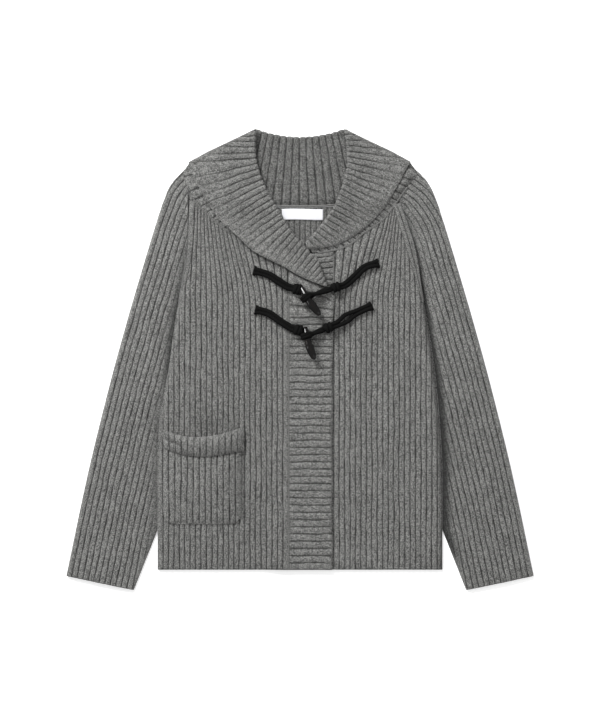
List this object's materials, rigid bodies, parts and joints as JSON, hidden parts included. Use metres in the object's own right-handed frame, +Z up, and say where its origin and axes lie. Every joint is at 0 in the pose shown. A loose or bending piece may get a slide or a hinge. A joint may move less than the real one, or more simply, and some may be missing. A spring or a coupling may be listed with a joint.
{
  "type": "shawl collar cardigan",
  "caption": "Hip-length wide-rib knit cardigan laid flat, with a folded shawl collar, horn toggles on doubled cords, crossed front bands and a patch pocket with a turned-down cuff.",
  "frame": {"origin": "on the surface the garment lies on, under the middle of its outline", "axes": "+X across the body towards the wearer's left sleeve, +Y from the hem to the neck, +Z up out of the surface, through the front"},
  "size_m": [0.746, 0.7319, 0.0296],
  "materials": {
    "grey_rib_knit": "heathered mid-grey wide rib knit, matt and slightly fuzzy",
    "white_label_tape": "smooth white woven tape, blank",
    "black_cord": "matt black braided cord",
    "black_horn": "polished black horn-like resin"
  },
  "bodies": {
    "root": {"back": "grey_rib_knit", "front_right": "grey_rib_knit", "front_left": "grey_rib_knit", "band_right": "grey_rib_knit", "band_left": "grey_rib_knit", "sleeve_right": "grey_rib_knit", "sleeve_left": "grey_rib_knit", "collar_right": "grey_rib_knit", "collar_left": "grey_rib_knit", "collar_back": "grey_rib_knit", "pocket": "grey_rib_knit", "pocket_cuff": "grey_rib_knit", "label": "white_label_tape", "cord_right_upper": "black_cord", "cord_left_upper": "black_cord", "cord_right_lower": "black_cord", "cord_left_lower": "black_cord", "loop_upper": "black_cord", "loop_lower": "black_cord", "toggle_upper": "black_horn", "toggle_lower": "black_horn"}
  },
  "joints": []
}
